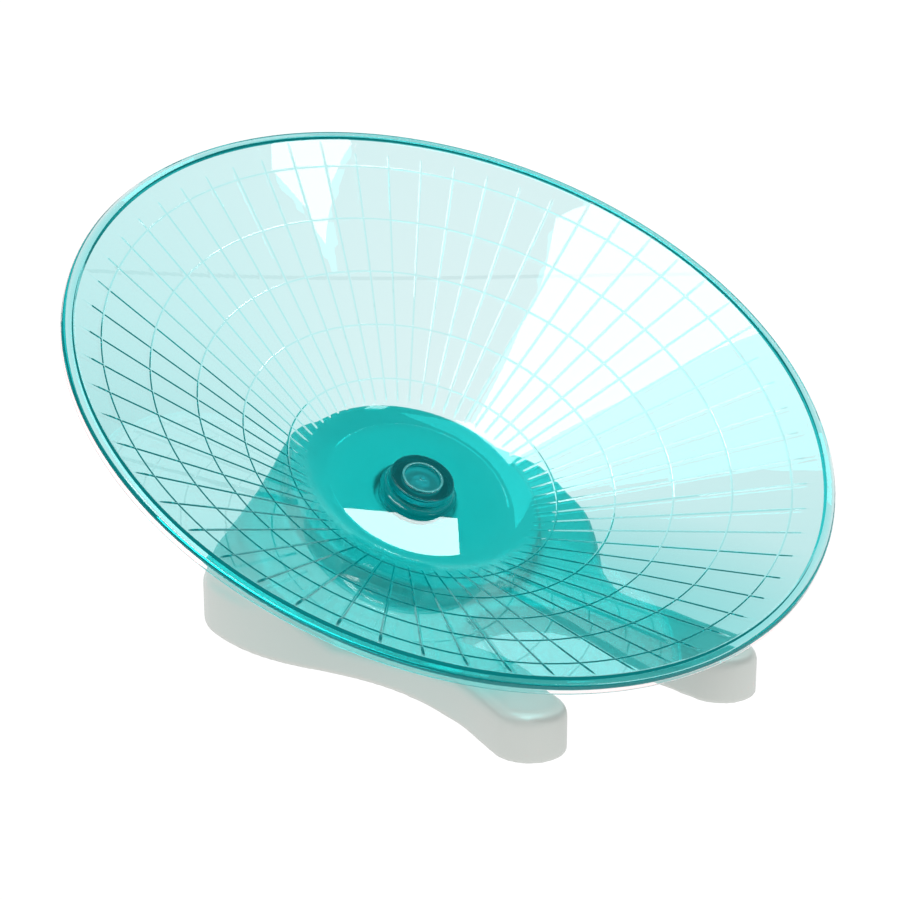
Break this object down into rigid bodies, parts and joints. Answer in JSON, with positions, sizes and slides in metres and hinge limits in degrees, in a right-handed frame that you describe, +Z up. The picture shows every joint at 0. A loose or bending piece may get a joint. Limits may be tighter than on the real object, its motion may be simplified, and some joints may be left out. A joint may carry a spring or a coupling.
{
  "type": "hamster saucer wheel",
  "caption": "Tilted running saucer for a small pet: a clear ribbed dish that spins on a ball bearing, on a low hollow stand with legs.",
  "frame": {"origin": "middle of the whole object's footprint, at ground level", "axes": "+Z up, front of the stand and low side of the dish towards -Y, +X to the right as seen from the front"},
  "size_m": [0.3, 0.263, 0.176],
  "materials": {
    "dish_plastic": "clear teal tint, moulded, glossy",
    "stand_plastic": "pale grey-white, moulded, glossy",
    "pad_rubber": "matt",
    "steel": "turned",
    "spring_steel": "blackened, stamped",
    "bearing_steel": "ground",
    "ball_steel": "polished",
    "nylon": "natural",
    "cage_nylon": "satin",
    "seal_rubber": "satin"
  },
  "bodies": {
    "stand": {"base_shell": "stand_plastic", "foot_pad_front_left": "pad_rubber", "foot_pad_front_right": "pad_rubber", "foot_pad_rear_left": "pad_rubber", "foot_pad_rear_right": "pad_rubber", "axle": "steel", "axle_washer": "steel", "axle_nut": "steel", "spacer_washer": "nylon", "axle_clip": "spring_steel", "bearing_inner_ring": "bearing_steel"},
    "cage": {"bearing_cage": "cage_nylon", "bearing_ball_1": "ball_steel", "bearing_ball_2": "ball_steel", "bearing_ball_3": "ball_steel", "bearing_ball_4": "ball_steel", "bearing_ball_5": "ball_steel", "bearing_ball_6": "ball_steel", "bearing_ball_7": "ball_steel"},
    "dish": {"running_dish": "dish_plastic", "bearing_outer_ring": "bearing_steel", "bearing_seal_upper": "seal_rubber", "bearing_seal_lower": "seal_rubber", "bearing_circlip": "spring_steel"}
  },
  "joints": [
    {"name": "dish_spin", "type": "hinge", "parent": "stand", "child": "dish", "pos_m": [0, 0.02904, 0.0492], "axis": [0, -0.4909, 0.8712], "continuous": true},
    {"name": "cage_orbit", "type": "hinge", "parent": "stand", "child": "cage", "pos_m": [0, 0.02904, 0.0492], "axis": [0, -0.4909, 0.8712], "continuous": true}
  ],
  "couplings": [
    {"joint": "cage_orbit", "follows": "dish_spin", "ratio": 0.6323}
  ]
}
